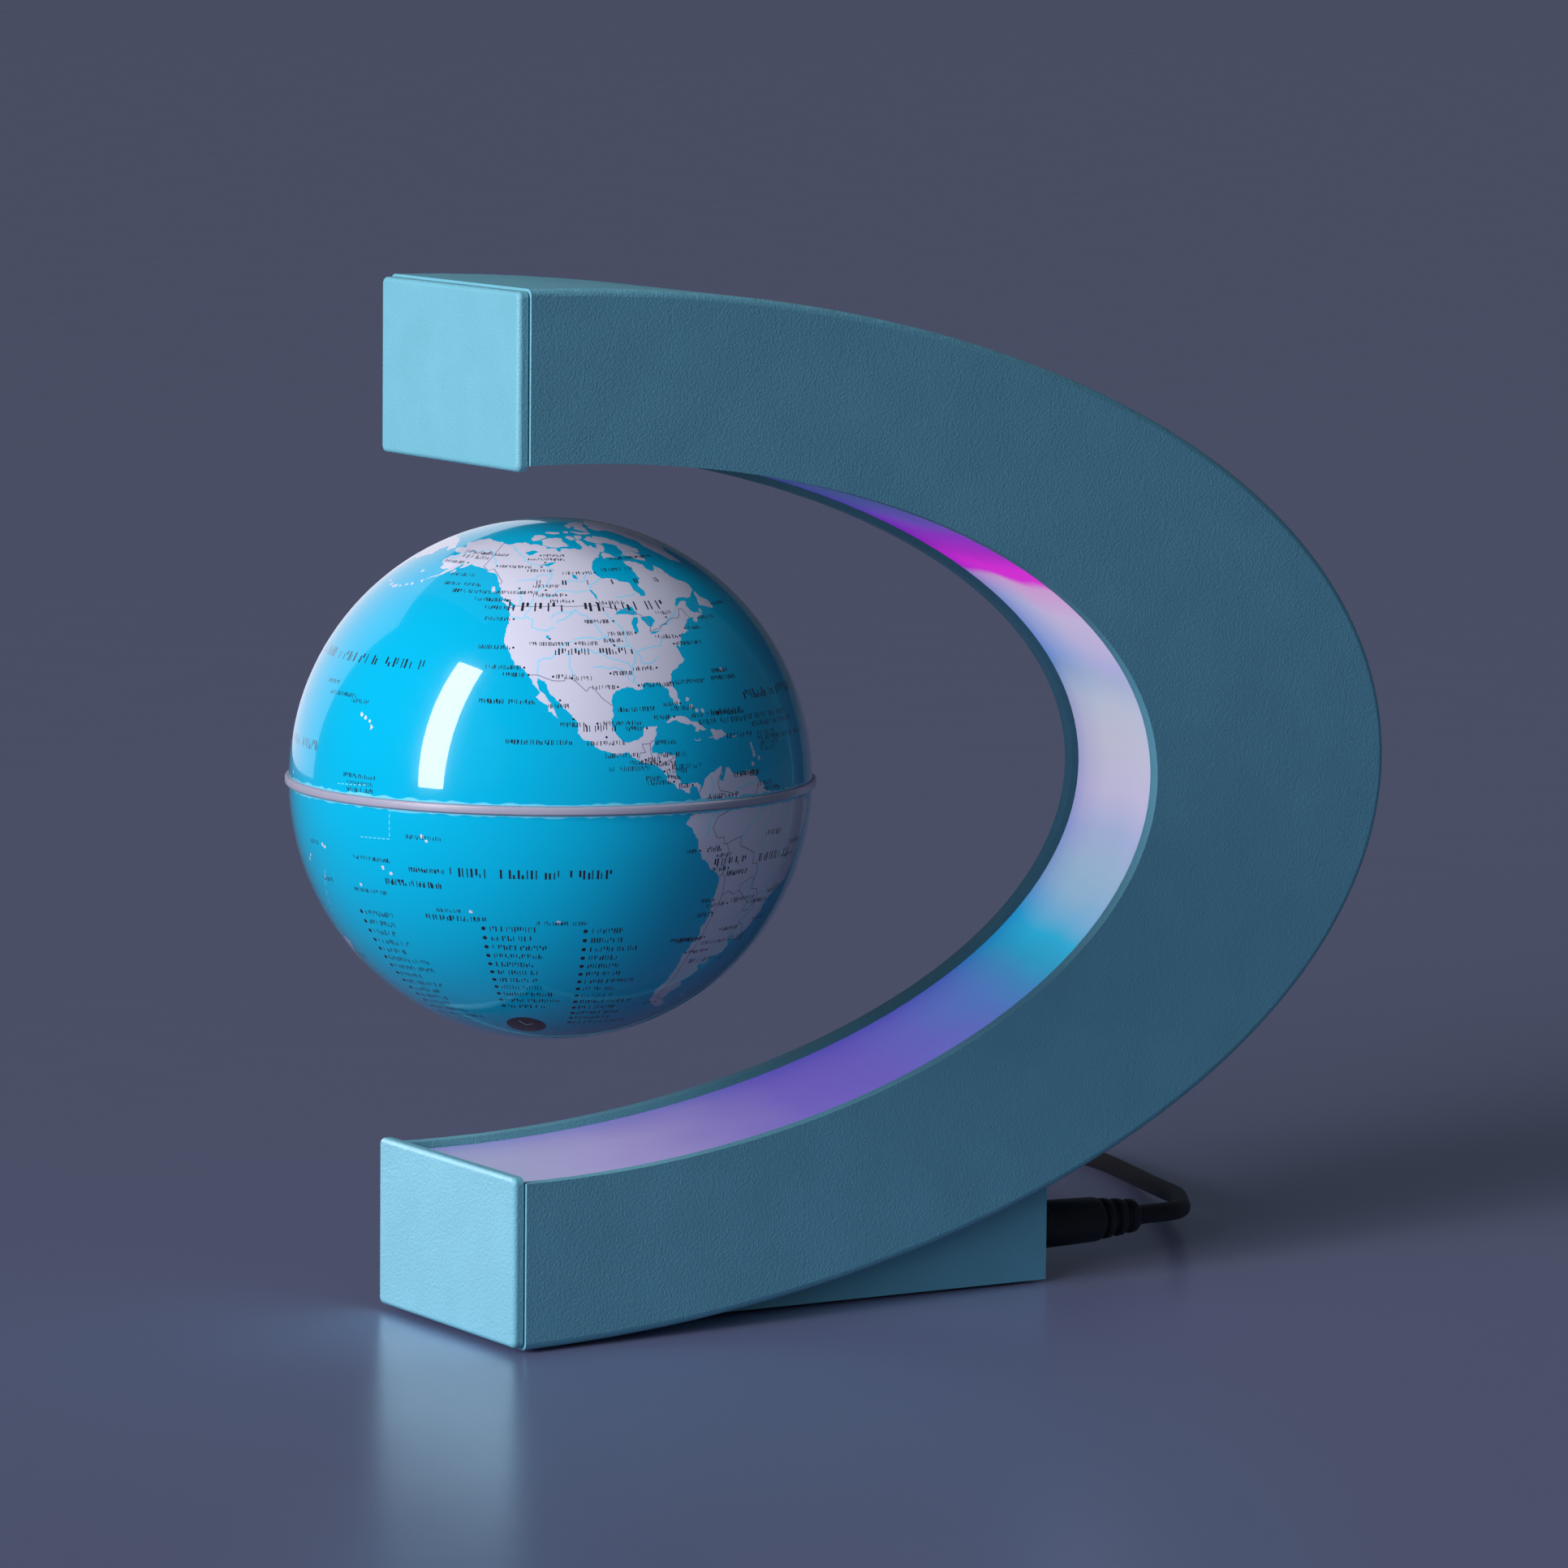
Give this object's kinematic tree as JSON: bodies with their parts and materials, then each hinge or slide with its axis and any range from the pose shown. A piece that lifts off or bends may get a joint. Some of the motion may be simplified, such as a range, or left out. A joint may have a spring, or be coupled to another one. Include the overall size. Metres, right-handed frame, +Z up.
{
  "type": "floating desktop globe",
  "caption": "Printed globe that floats by magnetism in the mouth of a C-shaped lit stand; the globe spins freely and lifts out, and a thin lead powers the stand.",
  "frame": {"origin": "on the table, below the middle of the stand and globe together (without the lead)", "axes": "+Z up; +X from the open mouth, where the globe floats, to the back of the C; +Y across the stand, with the stand's middle plane at y = 0"},
  "size_m": [0.2061, 0.157, 0.1706],
  "materials": {
    "stand_plastic": "fine spark-eroded texture on the sides, smoother end caps",
    "milky_diffuser": "milky, satin, lit from behind",
    "pad_rubber": "matte",
    "black_housing": "matte moulded",
    "magnet_iron": "bare steel",
    "bobbin_plastic": "moulded nylon",
    "winding_copper": "enamelled copper wire",
    "circuit_board": "green solder mask",
    "screw_steel": "zinc plated",
    "led_strip_white": "white flexible circuit",
    "led_package": "light sources in clear resin",
    "wire_insulation": "PVC insulation",
    "globe_print": "printed map under a clear gloss coat",
    "ring_grey": "satin moulded",
    "magnet_nickel": "nickel plated",
    "cord_black": "satin PVC sheath",
    "plug_black": "moulded PVC",
    "connector_metal": "nickel plated"
  },
  "bodies": {
    "root": {"c_shell": "stand_plastic", "top_end_cap": "stand_plastic", "bottom_end_cap": "stand_plastic", "foot_housing": "stand_plastic", "foot_cover": "stand_plastic", "led_diffuser": "milky_diffuser", "anti_slip_pads": "pad_rubber", "dc_jack": "black_housing", "board_components": "black_housing", "usb_tongue": "black_housing", "electromagnet_core": "magnet_iron", "magnet_bracket": "magnet_iron", "ballast_plate": "magnet_iron", "electromagnet_bobbin": "bobbin_plastic", "electromagnet_winding": "winding_copper", "control_board": "circuit_board", "hall_sensor_board": "circuit_board", "foot_screws": "screw_steel", "bracket_screws": "screw_steel", "board_screws": "screw_steel", "led_strip": "led_strip_white", "led_lights": "led_package", "coil_cable": "wire_insulation", "jack_leads": "wire_insulation", "power_cord": "cord_black", "power_cord_coil": "cord_black", "power_cord_tail": "cord_black", "dc_plug": "plug_black", "usb_grip": "plug_black", "plug_barrel": "connector_metal", "usb_shell": "connector_metal"},
    "magnet_carrier": {"globe_magnet": "magnet_nickel"},
    "globe": {"upper_hemisphere": "globe_print", "lower_hemisphere": "globe_print", "equator_ring": "ring_grey", "magnet_holder": "bobbin_plastic", "magnet_retainer": "bobbin_plastic"}
  },
  "joints": [
    {"name": "globe_release", "type": "slide", "parent": "root", "child": "magnet_carrier", "axis": [-1, 0, 0], "range_m": [0, 0.08]},
    {"name": "globe_spin", "type": "hinge", "parent": "magnet_carrier", "child": "globe", "pos_m": [-0.0574, 0, 0.0895], "axis": [0, 0, 1], "continuous": true}
  ]
}
